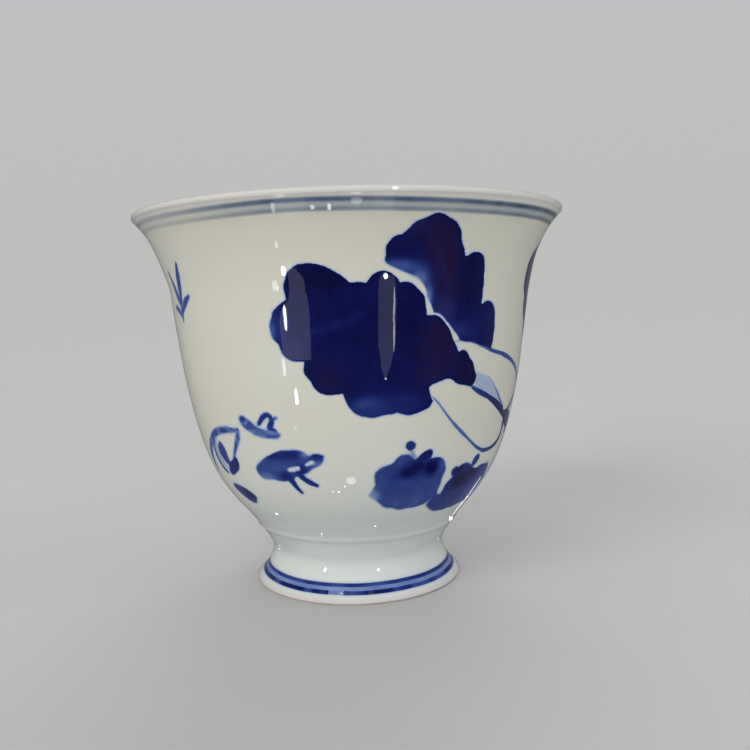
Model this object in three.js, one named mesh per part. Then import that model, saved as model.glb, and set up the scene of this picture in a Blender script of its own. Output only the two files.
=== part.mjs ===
// A footed bell-shaped porcelain teacup, in millimetres, +Z up, standing on its foot at Z = 0.
//
// The cup is a stack of turned solids about one axis: a thrown bowl, a hollow flared foot joined to
// it with slip, thin rings of cobalt brushed on the clay, and the glaze coats that seal them in.
// Neighbouring solids share the same outline points, so they meet face to face.

import * as THREE from 'three';

// ---------------------------------------------------------------- driving dimensions

const CUP_HEIGHT = 70.5;
const LIP_RADIUS = 40.62;
const LIP_THICKNESS = 1.24;
const LIP_LEAN = THREE.MathUtils.degToRad(38);   // how far the lip's section leans outwards

const GLAZE = 0.3;                                 // thickness of every glaze coat
const PIGMENT = 0.1;                               // thickness of a brushed cobalt ring

const JOINT_BOTTOM = 11.3;                         // top face of the foot
const SLIP_THICKNESS = 0.5;
const JOINT_TOP = JOINT_BOTTOM + SLIP_THICKNESS;   // underside of the bowl
const SLIP_RIDGE = 0.25;                           // how far the squeezed-out slip stands proud

const GLAZE_EDGE = 0.35;                           // the coats stop this far above the table
const REST_RADIUS_OUTER = 19.75;                   // the bare ring that the cup stands on
const REST_RADIUS_INNER = 17.2;

const SEGMENTS = 40;

// Outside of the glazed cup as radius and height: foot edge, neck, joint, belly, wall and flare.
const OUTER_OUTLINE = [
  [20.15, GLAZE_EDGE], [18.85, 1.7], [17.8, 3.2], [17.05, 5.2], [16.9, 6.7], [17.5, 8.3],
  [19.15, 10.9], [21.6, 14.2], [24.3, 17.5], [27.0, 21.7], [29.1, 26.6], [30.85, 32.9],
  [32.35, 40.5], [33.45, 48.6], [34.45, 56.0], [35.9, 61.5], [37.95, 66.2], [40.49, 69.5],
];

// Inside of the glazed bowl, from the middle of the floor to the lip.
const INNER_OUTLINE = [
  [0, 14.6], [8, 15.0], [14.6, 17.0], [20.4, 20.8], [24.9, 25.8], [27.9, 32.4],
  [29.9, 40.8], [31.3, 49.0], [32.5, 56.6], [34.2, 62.0], [36.6, 66.8], [39.51, 70.26],
];

// Inside of the hollow foot, from its bare ring up to the underside of the bowl.
const HOLLOW_OUTLINE = [[16.9, 0.7], [15.6, 3.4], [14.6, 6.6], [13.6, 9.4]];
const HOLLOW_TOP_RADIUS = 12.2;

// Heights of the brushed rings: the lower line, the pale wash above it and the upper line.
const FOOT_RINGS = { lower: 1.55, wash: 2.1, upper: 2.65, top: 3.2 };
const RIM_RINGS = { lower: 66.9, wash: 67.4, upper: 68.1, top: 68.7 };

// ---------------------------------------------------------------- materials

function finish(color, roughness) {
  return new THREE.MeshStandardMaterial({ color, roughness, metalness: 0 });
}

const CLAY = { color: 0xe9e2d3, roughness: 0.75 };
const SLIP = { color: 0xe4dccb, roughness: 0.8 };
const CLEAR_GLAZE = { color: 0xd9dacd, roughness: 0.08 };
const DARK_COBALT = { color: 0x1f2b5e, roughness: 0.5 };
const PALE_COBALT = { color: 0x8d9fc4, roughness: 0.5 };

// ---------------------------------------------------------------- outlines

function curveThrough(outline) {
  return new THREE.SplineCurve(outline.map(([radius, height]) => new THREE.Vector2(radius, height)));
}

const outerCurve = curveThrough(OUTER_OUTLINE);
const innerCurve = curveThrough(INNER_OUTLINE);

// A point on the outside at the given height, sunk by depth into the wall at right angles to it.
function outerPoint(height, depth = 0) {
  let low = 0;
  let high = 1;
  while (high - low > 1e-9) {
    const middle = (low + high) / 2;
    if (outerCurve.getPoint(middle).y < height) low = middle;
    else high = middle;
  }
  const tangent = outerCurve.getTangent(low);
  const surface = outerCurve.getPoint(low);
  return new THREE.Vector2(surface.x - tangent.y * depth, surface.y + tangent.x * depth);
}

function outerPoints(heights, depth = 0) {
  return heights.map((height) => outerPoint(height, depth));
}

// The inside, from the floor's middle to the lip, sunk by depth into the clay.
function innerPoints(depth = 0) {
  const count = INNER_OUTLINE.length - 1;
  const points = [];
  for (let i = 0; i <= count; i += 1) {
    const surface = innerCurve.getPoint(i / count);
    const tangent = innerCurve.getTangent(i / count);
    points.push(new THREE.Vector2(surface.x + tangent.y * depth, surface.y - tangent.x * depth));
  }
  points[0].set(0, INNER_OUTLINE[0][1] - depth);
  return points;
}

// The lip's round edge between two of its angles, counted from the outside face over the crest.
function lipArc(fromDegrees, toDegrees, depth = 0) {
  const half = LIP_THICKNESS / 2;
  const centre = new THREE.Vector2(LIP_RADIUS - half, CUP_HEIGHT - half);
  const step = 30;
  const points = [];
  for (let degrees = fromDegrees; degrees <= toDegrees; degrees += step) {
    const angle = THREE.MathUtils.degToRad(degrees) - LIP_LEAN;
    const spoke = new THREE.Vector2(Math.cos(angle), Math.sin(angle)).multiplyScalar(half - depth);
    points.push(spoke.add(centre));
  }
  return points;
}

const FOOT_HEIGHTS = [
  GLAZE_EDGE, FOOT_RINGS.lower, FOOT_RINGS.wash, FOOT_RINGS.upper, FOOT_RINGS.top,
  5, 6.7, 8.4, JOINT_BOTTOM - 1,
];
const BOWL_HEIGHTS = [
  JOINT_TOP + 1, 14.2, 17.5, 21.7, 26.6, 33, 41, 49, 56, 61.5, 64.8,
  RIM_RINGS.lower, RIM_RINGS.wash, RIM_RINGS.upper, RIM_RINGS.top,
];
const LIP_CREST = 90;
const LIP_INSIDE = 180;

// The joint's ridge where the slip was squeezed out, as seen on the clay or on the glaze.
function jointRidge(depth) {
  return [JOINT_BOTTOM, JOINT_TOP].map((height) => {
    const point = outerPoint(height, depth);
    point.set(point.x + SLIP_RIDGE, height);
    return point;
  });
}

// ---------------------------------------------------------------- turned solids

function turned(profile) {
  const geometry = new THREE.LatheGeometry(profile, SEGMENTS);
  geometry.rotateX(Math.PI / 2);
  return geometry;
}

// A profile that closes on itself. The outside runs upwards and the inside runs downwards.
function turnedRing(outside, inside) {
  return turned([...outside, ...[...inside].reverse(), outside[0].clone()]);
}

const parts = new THREE.Group();

function add(name, geometry, look) {
  const mesh = new THREE.Mesh(geometry, finish(look.color, look.roughness));
  mesh.name = name;
  parts.add(mesh);
}

// ---------------------------------------------------------------- clay

function bowl() {
  const foundation = new THREE.Vector2(jointRidge(GLAZE)[1].x, JOINT_TOP);
  return turned([
    new THREE.Vector2(0, JOINT_TOP),
    new THREE.Vector2(HOLLOW_TOP_RADIUS, JOINT_TOP),
    foundation,
    ...outerPoints(BOWL_HEIGHTS, GLAZE),
    ...lipArc(0, LIP_INSIDE, GLAZE),
    ...innerPoints(GLAZE).slice(0, -1).reverse(),
  ]);
}

function hollowPoints(depth = 0) {
  const walls = HOLLOW_OUTLINE.map(([radius, height]) => new THREE.Vector2(radius + depth, height));
  return [...walls, new THREE.Vector2(HOLLOW_TOP_RADIUS + depth, JOINT_BOTTOM)];
}

function foot() {
  const outside = [
    new THREE.Vector2(REST_RADIUS_OUTER, 0),
    ...outerPoints(FOOT_HEIGHTS, GLAZE),
    jointRidge(GLAZE)[0],
  ];
  const inside = [new THREE.Vector2(REST_RADIUS_INNER, 0), ...hollowPoints(GLAZE)];
  return turnedRing(outside, inside);
}

function lutingSlip() {
  const innerRadius = HOLLOW_TOP_RADIUS + GLAZE;
  const inside = [JOINT_BOTTOM, JOINT_TOP].map((height) => new THREE.Vector2(innerRadius, height));
  return turnedRing(jointRidge(GLAZE), inside);
}

// ---------------------------------------------------------------- cobalt brushed on the clay

function brushedRing(bottom, top) {
  return turnedRing(outerPoints([bottom, top], GLAZE - PIGMENT), outerPoints([bottom, top], GLAZE));
}

// The clay-side face of the glaze, which steps outwards over a stack of brushed rings.
function glazeBack(heights, rings) {
  return heights.flatMap((height) => {
    const clay = outerPoint(height, GLAZE);
    const cobalt = outerPoint(height, GLAZE - PIGMENT);
    if (height === rings.lower) return [clay, cobalt];
    if (height === rings.top) return [cobalt, clay];
    return height > rings.lower && height < rings.top ? [cobalt] : [clay];
  });
}

// ---------------------------------------------------------------- glaze

function exteriorGlaze() {
  const outside = [
    ...outerPoints(FOOT_HEIGHTS),
    ...jointRidge(0),
    ...outerPoints(BOWL_HEIGHTS),
    ...lipArc(0, LIP_CREST),
  ];
  const inside = [
    ...glazeBack(FOOT_HEIGHTS, FOOT_RINGS),
    ...jointRidge(GLAZE),
    ...glazeBack(BOWL_HEIGHTS, RIM_RINGS),
    ...lipArc(0, LIP_CREST, GLAZE),
  ];
  return turnedRing(outside, inside);
}

function interiorGlaze() {
  return turned([
    ...innerPoints(GLAZE).slice(0, -1),
    ...lipArc(LIP_CREST, LIP_INSIDE, GLAZE).reverse(),
    ...lipArc(LIP_CREST, LIP_INSIDE),
    ...innerPoints().slice(0, -1).reverse(),
  ]);
}

function recessGlaze() {
  return turned([
    new THREE.Vector2(0, JOINT_TOP - GLAZE),
    new THREE.Vector2(HOLLOW_TOP_RADIUS - GLAZE, JOINT_TOP - GLAZE),
    ...hollowPoints().reverse(),
    ...hollowPoints(GLAZE),
    new THREE.Vector2(HOLLOW_TOP_RADIUS + GLAZE, JOINT_TOP),
    new THREE.Vector2(0, JOINT_TOP),
  ]);
}

add('bowl', bowl(), CLAY);
add('foot', foot(), CLAY);
add('luting_slip', lutingSlip(), SLIP);
add('foot_line_lower', brushedRing(FOOT_RINGS.lower, FOOT_RINGS.wash), DARK_COBALT);
add('foot_wash_band', brushedRing(FOOT_RINGS.wash, FOOT_RINGS.upper), PALE_COBALT);
add('foot_line_upper', brushedRing(FOOT_RINGS.upper, FOOT_RINGS.top), DARK_COBALT);
add('rim_line_lower', brushedRing(RIM_RINGS.lower, RIM_RINGS.wash), PALE_COBALT);
add('rim_wash_band', brushedRing(RIM_RINGS.wash, RIM_RINGS.upper), PALE_COBALT);
add('rim_line_upper', brushedRing(RIM_RINGS.upper, RIM_RINGS.top), DARK_COBALT);
add('exterior_glaze', exteriorGlaze(), CLEAR_GLAZE);
add('interior_glaze', interiorGlaze(), CLEAR_GLAZE);
add('foot_recess_glaze', recessGlaze(), CLEAR_GLAZE);

export default parts;
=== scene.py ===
"""A small footed porcelain teacup, glazed over brushed cobalt, on a pale table under soft light.

The frame's solids give the main sizes, and the outlines are those of the CAD part. Each coat and each
clay piece is turned again here with fine steps and a slight hand-thrown unevenness, and replaces the
CAD nodes that it names. Lengths are in millimetres until a mesh is made, and MM turns them into metres.
"""

import math

import bpy
import numpy as np
from mathutils import Matrix, Vector


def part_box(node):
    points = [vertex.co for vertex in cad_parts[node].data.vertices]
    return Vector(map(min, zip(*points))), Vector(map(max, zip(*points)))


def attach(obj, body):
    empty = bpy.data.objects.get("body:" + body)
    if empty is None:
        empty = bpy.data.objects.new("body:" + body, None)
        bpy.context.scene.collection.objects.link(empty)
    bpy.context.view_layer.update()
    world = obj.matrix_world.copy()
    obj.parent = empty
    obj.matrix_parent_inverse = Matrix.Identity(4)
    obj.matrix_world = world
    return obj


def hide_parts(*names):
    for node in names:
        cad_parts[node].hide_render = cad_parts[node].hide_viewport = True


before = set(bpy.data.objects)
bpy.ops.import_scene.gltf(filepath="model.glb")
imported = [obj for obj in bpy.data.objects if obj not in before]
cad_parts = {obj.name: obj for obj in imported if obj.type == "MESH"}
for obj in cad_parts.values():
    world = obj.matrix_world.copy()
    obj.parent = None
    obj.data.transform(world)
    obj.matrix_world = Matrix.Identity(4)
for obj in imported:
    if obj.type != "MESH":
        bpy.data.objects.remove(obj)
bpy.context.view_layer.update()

MM = 0.001


def node_box(name):
    """A CAD node's lowest and highest corners in millimetres."""
    low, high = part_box(name)
    return low / MM, high / MM


# ---------- sizes, from the frame or as in the CAD part

LIP_RADIUS = node_box("exterior_glaze")[1].x
CUP_HEIGHT = node_box("exterior_glaze")[1].z
GLAZE = 0.3                 # thickness of every glaze coat
GLAZE_EDGE = 0.35           # the outside coat stops this far above the table
JOINT_BOTTOM = node_box("luting_slip")[0].z
JOINT_TOP = node_box("luting_slip")[1].z
REST_RADIUS_OUTER = 19.75
REST_RADIUS_INNER = node_box("foot_recess_glaze")[1].x
LIP_THICKNESS = 1.24
LIP_LEAN = math.radians(38)     # how far the lip's section leans outwards
HOLLOW_TOP_RADIUS = 12.2
SLIP_RIDGE = 0.20           # how far the squeezed-out slip stands proud, 0.05 less than in the CAD part
SLIP_RIDGE_REACH = 0.45     # how far it spreads up and down

# Radius and height of the glazed outside, from the foot's edge to the flare.
OUTER_OUTLINE = [
    (20.15, GLAZE_EDGE), (18.85, 1.7), (17.8, 3.2), (17.05, 5.2), (16.9, 6.7), (17.5, 8.3),
    (19.15, 10.9), (21.6, 14.2), (24.3, 17.5), (27.0, 21.7), (29.1, 26.6), (30.85, 32.9),
    (32.35, 40.5), (33.45, 48.6), (34.45, 56.0), (35.9, 61.5), (37.95, 66.2), (40.49, 69.5),
]

# Radius and height of the glazed inside, from the middle of the floor to the lip.
INNER_OUTLINE = [
    (0, 14.6), (8, 15.0), (14.6, 17.0), (20.4, 20.8), (24.9, 25.8), (27.9, 32.4),
    (29.9, 40.8), (31.3, 49.0), (32.5, 56.6), (34.2, 62.0), (36.6, 66.8), (39.51, 70.26),
]

# Radius and height of the hollow under the cup, from the bare ring upwards.
HOLLOW_OUTLINE = [
    (16.9, 0.7), (15.6, 3.4), (14.6, 6.6), (13.6, 9.4), (HOLLOW_TOP_RADIUS, JOINT_BOTTOM),
]

WALL_RADIUS = 33.0          # where the motif's across measure is true to size


# ---------- outlines

def spline(points, count):
    """A smooth curve through the points, as count rows spaced evenly along it."""
    points = np.array(points, float)
    last = len(points) - 1
    t = np.linspace(0, last, 60 * last + 1)
    i = np.minimum(t.astype(int), last - 1)
    w = (t - i)[:, None]
    before = points[np.maximum(i - 1, 0)]
    start = points[i]
    end = points[i + 1]
    after = points[np.minimum(i + 2, last)]
    leave = (end - before) / 2
    arrive = (after - start) / 2
    curve = (2 * start - 2 * end + leave + arrive) * w**3
    curve += (3 * end - 3 * start - 2 * leave - arrive) * w**2 + leave * w + start
    return even_rows(curve, count)


def even_rows(curve, count):
    """The curve's rows resampled at even steps along it."""
    steps = np.hypot(*np.diff(curve[:, :2], axis=0).T)
    along = np.concatenate([[0], np.cumsum(steps)])
    wanted = np.linspace(0, along[-1], count)
    return np.stack([np.interp(wanted, along, column) for column in curve.T], axis=1)


def offset(rows, depth):
    """The rows moved by depth to the left of their direction."""
    tangent = np.gradient(rows, axis=0)
    tangent /= np.linalg.norm(tangent, axis=1)[:, None]
    return rows + depth * np.stack([-tangent[:, 1], tangent[:, 0]], axis=1)


def lip_arc(start, stop, count, depth=0.0):
    """The lip's round edge between two angles, counted from its outside face over the crest."""
    half = LIP_THICKNESS / 2
    angle = np.radians(np.linspace(start, stop, count)) - LIP_LEAN
    reach = half - depth
    radius = LIP_RADIUS - half + reach * np.cos(angle)
    height = CUP_HEIGHT - half + reach * np.sin(angle)
    return np.stack([radius, height], axis=1)


def with_joint_ridge(rows):
    """The soft ridge where slip was squeezed out between foot and bowl."""
    above_joint = rows[:, 1] - (JOINT_BOTTOM + JOINT_TOP) / 2
    ridge = SLIP_RIDGE * np.exp(-((above_joint / SLIP_RIDGE_REACH) ** 2))
    return rows + np.stack([ridge, np.zeros(len(rows))], axis=1)


def outer_rows(count, depth=0.0):
    """The outside, from the foot's edge to the lip, at a depth below the glaze's face."""
    return offset(with_joint_ridge(spline(OUTER_OUTLINE, count)), depth)


def inner_rows(count, depth=0.0):
    """The inside, from the middle of the floor to the lip, at a depth below the glaze's face."""
    rows = offset(spline(INNER_OUTLINE, count), -depth)
    rows[0, 0] = 0
    return rows


def hollow_rows(count, depth=0.0):
    """The hollow's wall, upwards from the bare ring, at a depth below the glaze's face."""
    return spline(HOLLOW_OUTLINE, count) + (depth, 0)


def closed(*stretches):
    """One profile from stretches that follow each other."""
    return np.concatenate(stretches)


# ---------- turned meshes

def hand_thrown(azimuth, height):
    """How far the wheel-thrown wall stands off a true circle, in millimetres."""
    up = np.clip(height / CUP_HEIGHT, 0, 1)
    oval = 0.07 * up**2 * np.cos(2 * (azimuth - 0.5))
    finger_rings = 0.006 * up * np.sin(2 * np.pi * height / 5.2 + azimuth)
    left_dent = bump(azimuth, height, centre=(-1.35, 57), size=(0.30, 2.6))
    right_dent = bump(azimuth, height, centre=(1.40, 62), size=(0.35, 3.0))
    return oval + finger_rings - 0.2 * left_dent - 0.2 * right_dent


def bump(azimuth, height, centre, size):
    """A soft swelling of the wall, 1 at its centre."""
    across = (azimuth - centre[0]) / size[0]
    up = (height - centre[1]) / size[1]
    return np.exp(-(across**2) - up**2)


def azimuth_columns(count, crowding=0.3):
    """Azimuths from -Y, set closer together on the brushed side."""
    t = np.linspace(-np.pi, np.pi, count, endpoint=False)
    return t - crowding * np.sin(t)


def wall_points(rows, azimuth):
    """Every row's points round the cup."""
    angle, radius = np.meshgrid(azimuth, rows[:, 0])
    height = np.meshgrid(azimuth, rows[:, 1])[1]
    radius = radius + hand_thrown(angle, height)
    return np.stack([radius * np.sin(angle), -radius * np.cos(angle), height], axis=-1).reshape(-1, 3)


def wall_faces(row_count, columns, open_ended):
    """Quads between rows, and from the last row to the first unless the wall is open-ended."""
    ring = np.arange(columns)
    following = (ring + 1) % columns
    faces = []
    for row in range(row_count - 1 if open_ended else row_count):
        low = row * columns
        high = (row + 1) % row_count * columns
        faces.append(np.stack([low + ring, low + following, high + following, high + ring], axis=1))
    return np.concatenate(faces).tolist()


def end_fans(first, top, columns):
    """Triangles from the two points on the axis, first and the one after it, to their nearest rows."""
    ring = range(columns)
    start = [[first, (column + 1) % columns, column] for column in ring]
    return start + [[first + 1, top + column, top + (column + 1) % columns] for column in ring]


def turned(name, profile, columns, material, replaces):
    """A solid of revolution. The profile closes on itself, or starts and ends on the axis."""
    on_axis = profile[0][0] == 0
    rows = profile[1:-1] if on_axis else profile
    points = wall_points(rows, azimuth_columns(columns))
    faces = wall_faces(len(rows), columns, open_ended=on_axis)
    if on_axis:
        faces += end_fans(len(points), (len(rows) - 1) * columns, columns)
        points = np.concatenate([points, [[0, 0, profile[0][1]], [0, 0, profile[-1][1]]]])
    mesh = bpy.data.meshes.new(name)
    mesh.from_pydata((points * MM).tolist(), [], faces)
    mesh.shade_smooth()
    mesh.materials.append(material)
    piece = bpy.data.objects.new(name, mesh)
    bpy.context.scene.collection.objects.link(piece)
    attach(piece, "root")
    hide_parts(*replaces)
    return piece


# ---------- the motif's outlines and strokes
#
# Places on the wall are (across, up) in millimetres, across counted from -Y at WALL_RADIUS.
# An edge is a closed run of arcs: each corner is (across, up, bulge of the arc to the next corner).
# A stroke is a smooth line through (across, up, half width).
# A wash is a soft patch of another load: (across, up, reach across, reach up, load, violet).
#
# The front leaves, stalks, bulbs and mushrooms are traced: their points were placed by eye along the
# photo's brushwork, and another program turned them into these millimetres. The sprig and the back
# are made up, apart from the back leaf's near edge.

NEAR_LEAF = {
    "edge": [
        (-8.8, 54.0, 1.3), (-6.4, 59.6, 1.0), (0.8, 56.4, 0.3), (3.3, 56.3, 0.6), (5.9, 58.1, 0.4),
        (8.3, 56.4, 1.0), (12.5, 53.3, 0.1), (12.8, 51.2, 0.4), (16.2, 49.9, 0.1), (19.1, 45.0, 0.7),
        (21.6, 43.9, 0.2), (23.4, 41.3, 0.8), (22.2, 39.1, 0.2), (18.3, 40.4, -0.6), (13.7, 39.5, -0.3),
        (14.8, 37.3, 0.6), (11.2, 35.4, 0.3), (8.2, 35.7, -0.1), (4.1, 35.0, 1.4), (-0.7, 39.5, 1.3),
        (-6.0, 41.1, 0.5), (-6.8, 44.4, 1.1), (-10.9, 47.3, 0.9), (-11.6, 51.6, 0.6),
    ],
    "load": 0.93,
    "washes": [
        (-3.0, 57.3, 4.5, 1.8, 1.00, 0.1), (3.0, 50.0, 6.0, 4.0, 0.96, 0.0),
        (10.2, 50.5, 2.2, 5.0, 0.98, 0.0), (3.5, 36.6, 4.5, 2.0, 0.72, 0.0),
        (9.5, 37.0, 3.5, 1.8, 0.80, 0.0), (2.6, 37.4, 1.5, 0.8, 0.66, 0.0),
        (-10.6, 50.3, 1.9, 3.0, 0.78, 0.0), (-8.8, 46.0, 2.4, 2.2, 0.74, 0.4),
        (-12.2, 49.4, 1.0, 1.6, 0.52, 0.0), (-3.4, 41.3, 2.6, 2.5, 0.92, 0.5),
        (15.6, 46.4, 3.0, 4.0, 0.93, 0.9), (14.4, 41.4, 2.5, 1.5, 0.85, 0.7),
        (21.4, 41.8, 1.8, 2.4, 0.98, 0.6),
    ],
    "veins": [[(-6.0, 49.0, 0.5), (-2.0, 49.9, 0.7), (2.5, 51.6, 0.4)]],
}
FAR_LEAF = {
    "edge": [
        (6.0, 60.4, 0.9), (8.2, 63.5, 0.5), (12.8, 66.5, 0.7), (17.2, 63.9, -0.1), (18.9, 60.2, 1.4),
        (23.2, 58.8, 0.1), (23.5, 52.6, 1.4), (27.2, 50.7, 0.3), (27.0, 44.9, -0.2), (19.1, 46.9, -0.5),
        (14.3, 51.2, 0.2), (12.5, 55.2, -0.4), (9.3, 57.8, 0.2), (6.3, 59.3, 0.2),
    ],
    "load": 0.92,
    "washes": [
        (11.0, 65.0, 2.4, 1.5, 0.82, 0.5), (14.2, 62.5, 2.4, 3.5, 0.93, 0.9),
        (8.6, 61.2, 2.6, 1.6, 0.93, 0.1), (20.2, 56.5, 2.6, 5.0, 0.97, 0.1),
        (15.6, 57.5, 2.1, 5.0, 0.90, 1.0), (8.0, 58.8, 3.0, 1.1, 0.56, 0.1),
        (11.4, 57.0, 1.5, 1.6, 0.48, 0.2), (12.9, 54.2, 0.9, 1.8, 0.42, 0.1),
        (15.8, 51.6, 1.8, 2.4, 0.70, 0.6), (21.8, 48.4, 3.0, 2.4, 0.84, 0.0),
        (18.4, 48.4, 1.8, 1.3, 0.72, 0.2), (25.6, 48.5, 1.3, 3.0, 0.88, 0.0),
    ],
    "veins": [[(12.0, 64.0, 0.4), (14.5, 60.0, 0.6), (16.5, 55.5, 0.4)]],
}
BACK_LEAF = {
    "edge": [
        (41.8, 49.2, 0.9), (39.4, 53.6, 0.7), (37.8, 58.6, 0.8), (41.4, 62.4, 0.9), (47.5, 64.6, 0.9),
        (53.0, 63.6, 0.8), (58.4, 64.8, 0.9), (63.6, 62.4, 1.0), (66.6, 58.2, 0.9), (67.4, 52.6, 0.9),
        (64.4, 48.0, 0.8), (60.8, 46.2, -0.3), (57.4, 45.8, 0.7), (53.0, 44.0, 0.9), (48.0, 44.8, 0.8),
        (44.2, 46.6, 0.8),
    ],
    "load": 0.94,
    "washes": [
        (60.5, 52.0, 3.6, 5.0, 0.92, 0.8), (50.0, 46.0, 4.0, 1.8, 0.72, 0.0),
        (44.0, 48.0, 2.4, 2.5, 0.68, 0.1), (50.0, 62.0, 4.0, 2.0, 0.99, 0.1),
        (65.0, 57.0, 1.6, 3.0, 0.74, 0.0),
    ],
    "veins": [[(47.0, 54.0, 0.5), (52.0, 52.6, 0.7), (57.6, 49.0, 0.4)]],
}
LEAF_GAP = 0.35             # bare strip kept between the near and the far leaf

# White stalks, drawn only by their outline. A half width below zero is where the brush was lifted.
NEAR_STALK_TOP = [
    (36.8, 32.4, 0.60), (35.2, 33.1, 0.68), (33.3, 34.2, 0.68), (30.7, 35.5, 0.60), (27.6, 36.9, 0.50),
    (23.1, 38.8, 0.36), (19.8, 41.8, -0.3),
]
NEAR_STALK = [
    (15.0, 41.6, -0.3), (13.9, 39.0, -0.1), (15.9, 36.6, 0.22), (19.6, 32.9, 0.30), (24.5, 29.4, 0.32),
    (27.8, 27.6, 0.38), (30.8, 26.8, 0.44), (34.2, 27.0, 0.52), (36.7, 28.0, 0.56), (37.4, 29.6, 0.56),
    (37.1, 31.0, 0.55), *NEAR_STALK_TOP,
]
FAR_STALK = [
    (16.6, 45.4, -0.4), (19.2, 46.9, 0.14), (23.1, 46.2, 0.28), (27.3, 44.8, 0.38), (31.6, 43.8, 0.42),
    (36.7, 42.0, 0.36), (41.0, 39.6, 0.42), (43.2, 37.2, 0.50), (42.1, 35.6, 0.50), (39.6, 34.0, 0.50),
    (37.8, 33.0, 0.55), *NEAR_STALK_TOP,
]
BACK_STALK = [
    (56.4, 47.6, -0.3), (57.2, 45.0, 0.15), (59.2, 42.0, 0.20), (62.4, 38.0, 0.24), (66.6, 33.8, 0.28),
    (70.6, 31.6, 0.36), (74.4, 32.6, 0.46), (75.2, 35.4, 0.50), (72.2, 38.8, 0.40), (67.6, 42.2, 0.30),
    (63.2, 45.6, 0.22), (61.6, 48.4, -0.3),
]
STALK_FOLD = [
    (25.4, 40.8, -0.2), (27.0, 40.3, 0.12), (28.2, 39.5, 0.16), (29.8, 38.2, 0.20), (31.6, 36.6, 0.26),
    (33.8, 34.7, 0.34), (34.9, 33.7, 0.36), (34.6, 32.6, -0.3), (31.0, 34.4, -0.3), (27.0, 36.4, -0.3),
    (24.0, 38.0, -0.3),
]
STALKS = {
    "near_stalk": NEAR_STALK,
    "far_stalk": FAR_STALK,
    "back_stalk": BACK_STALK,
    "stalk_fold": STALK_FOLD,
}
STALK_SHADE = [
    (23.4, 40.4, 1.0), (25.4, 39.4, 1.3), (27.6, 38.4, 1.1), (30.2, 36.9, 0.8), (32.6, 35.2, 0.5),
]
STALK_KNOT = [
    (36.2, 32.9, 0.60), (37.6, 32.3, 1.20), (39.6, 31.5, 1.50), (41.0, 30.6, 1.20), (40.8, 29.0, 0.50),
]

LEFT_BULB = {
    "edge": [
        (3.5, 21.5, 0.1), (4.7, 23.3, 1.2), (6.6, 26.8, -0.1), (7.9, 27.1, 0.5), (10.0, 28.3, 0.4),
        (12.6, 27.4, 0.0), (16.2, 27.4, 0.7), (19.7, 25.0, -0.4), (19.3, 20.0, 0.3), (14.9, 18.2, 0.4),
        (7.5, 18.7, 0.3),
    ],
    "load": 0.62,
    "washes": [
        (8.2, 23.0, 2.4, 2.5, 0.64, 0.0), (11.6, 19.6, 4.6, 1.5, 0.53, 0.1),
        (11.0, 25.2, 1.9, 0.9, 0.90, 0.0), (12.8, 26.1, 1.7, 1.0, 0.90, 0.2),
        (16.0, 25.6, 1.4, 1.3, 0.97, 0.1), (4.2, 21.2, 1.3, 1.4, 0.34, 0.0),
        (18.7, 26.0, 0.9, 1.3, 0.56, 0.0), (7.2, 26.3, 1.2, 0.8, 0.64, 0.3),
        (17.6, 21.0, 1.6, 1.8, 0.58, 0.1),
    ],
}
RIGHT_BULB = {
    "edge": [
        (17.6, 18.0, 1.1), (20.5, 19.8, 0.8), (22.4, 23.2, 1.2), (22.9, 24.9, 0.5), (27.0, 24.6, -0.3),
        (30.1, 23.7, 0.4), (35.4, 23.5, 0.4), (37.3, 20.4, 1.7), (32.7, 16.6, 0.1), (22.6, 16.2, 0.4),
    ],
    "load": 0.66,
    "washes": [
        (25.4, 22.0, 3.0, 1.7, 0.97, 0.1), (28.8, 23.2, 2.2, 1.3, 0.95, 0.3),
        (23.4, 24.4, 1.2, 0.8, 0.82, 0.8), (20.8, 18.2, 2.2, 1.3, 0.66, 0.0),
        (26.0, 18.8, 3.0, 1.3, 0.72, 0.0), (33.5, 18.6, 3.0, 1.8, 0.56, 0.0),
    ],
}
BACK_BULB = {
    "edge": [
        (51.0, 23.6, 1.0), (52.6, 27.4, 0.6), (55.6, 28.6, 0.6), (58.6, 27.6, 0.9), (60.4, 24.2, 0.6),
        (57.2, 22.0, 0.5), (53.4, 22.2, 0.4),
    ],
    "load": 0.66,
    "washes": [(55.4, 26.6, 2.2, 1.0, 0.92, 0.1), (52.2, 23.6, 1.4, 1.4, 0.45, 0.0)],
}

# Little mushrooms: two filled caps, and brushed lines as (load, stroke).
BIG_CAP = {
    "edge": [
        (-19.6, 26.3, 0.4), (-13.8, 29.3, 0.4), (-8.8, 29.6, 0.0), (-7.6, 28.9, 0.3), (-4.8, 28.9, 0.2),
        (-5.4, 27.6, 0.1), (-8.7, 25.7, 0.0), (-13.4, 24.0, 0.1), (-19.0, 24.3, 0.5),
    ],
    "load": 0.64,
    "washes": [
        (-15.0, 28.6, 3.6, 0.6, 0.76, 0.1), (-11.0, 29.0, 1.8, 0.6, 0.78, 0.2),
        (-6.2, 28.8, 1.5, 0.5, 0.74, 0.1), (-8.4, 29.0, 0.8, 0.6, 0.46, 0.0),
        (-17.4, 24.6, 2.4, 0.9, 0.44, 0.1), (-14.2, 26.4, 3.0, 0.9, 0.54, 0.1),
        (-13.0, 25.0, 1.3, 0.7, 0.78, 0.4), (-9.4, 26.3, 0.8, 0.9, 0.78, 0.3),
        (-6.4, 27.4, 1.4, 0.5, 0.48, 0.0),
    ],
}
SMALL_CAP = {
    "edge": [
        (-31.0, 21.4, 0.4), (-27.4, 21.8, 0.3), (-23.6, 20.2, 0.5), (-25.6, 18.6, 0.4),
        (-29.7, 20.0, 0.2),
    ],
    "load": 0.66,
    "washes": [(-26.0, 20.4, 1.6, 0.9, 0.86, 0.4)],
}
CAP_LIGHTS = [
    [(-11.9, 26.2, 0.35), (-10.2, 26.5, 0.48)],
    [(-8.3, 27.2, 0.28), (-7.2, 27.7, 0.40)],
]
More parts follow.
